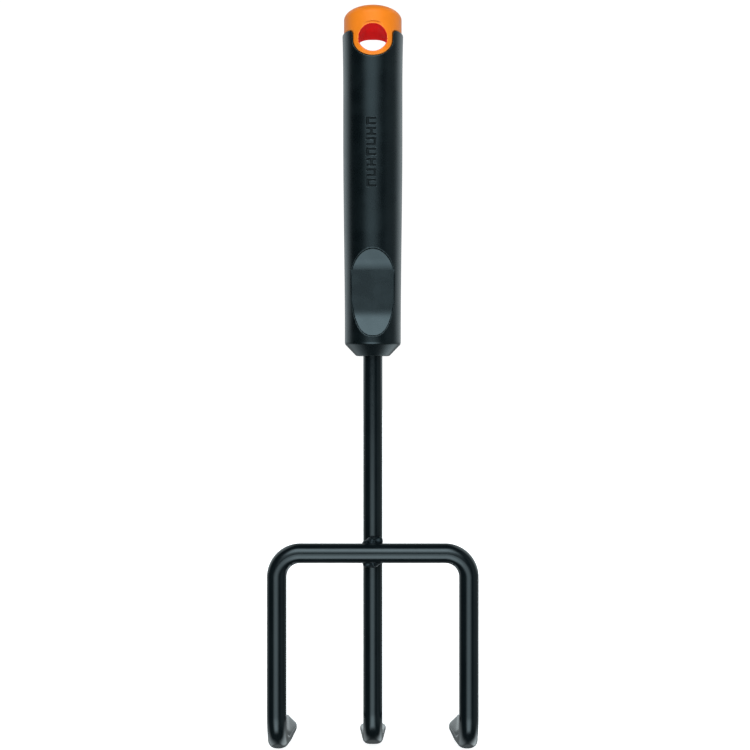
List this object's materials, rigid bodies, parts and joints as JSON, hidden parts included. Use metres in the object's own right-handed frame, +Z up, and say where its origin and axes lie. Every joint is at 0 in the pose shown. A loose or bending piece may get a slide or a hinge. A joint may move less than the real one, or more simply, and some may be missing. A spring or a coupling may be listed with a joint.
{
  "type": "hand cultivator",
  "caption": "Hand cultivator: a round tapered grip with a thumb dish and a hanging hole, a steel shaft, and tines bent back into forged spade tips.",
  "frame": {"origin": "centre of the hanging hole through the top of the handle", "axes": "+Z up the handle, away from the tines; -Y is the front, where the thumb dish and the crossbar are; the tips point back along +Y; X runs along the crossbar"},
  "size_m": [0.0952, 0.076, 0.3323],
  "materials": {
    "orange_plastic": "satin moulded polypropylene",
    "grip_rubber": "matte soft-touch elastomer",
    "coated_steel": "glossy black coating on steel bar",
    "weld_metal": "glossy black coating over a rippled weld"
  },
  "bodies": {
    "root": {"handle_core": "orange_plastic", "grip_sleeve": "grip_rubber", "shaft_centre_tine": "coated_steel", "outer_tine_fork": "coated_steel", "weld_bead_upper": "weld_metal", "weld_bead_lower": "weld_metal"}
  },
  "joints": []
}
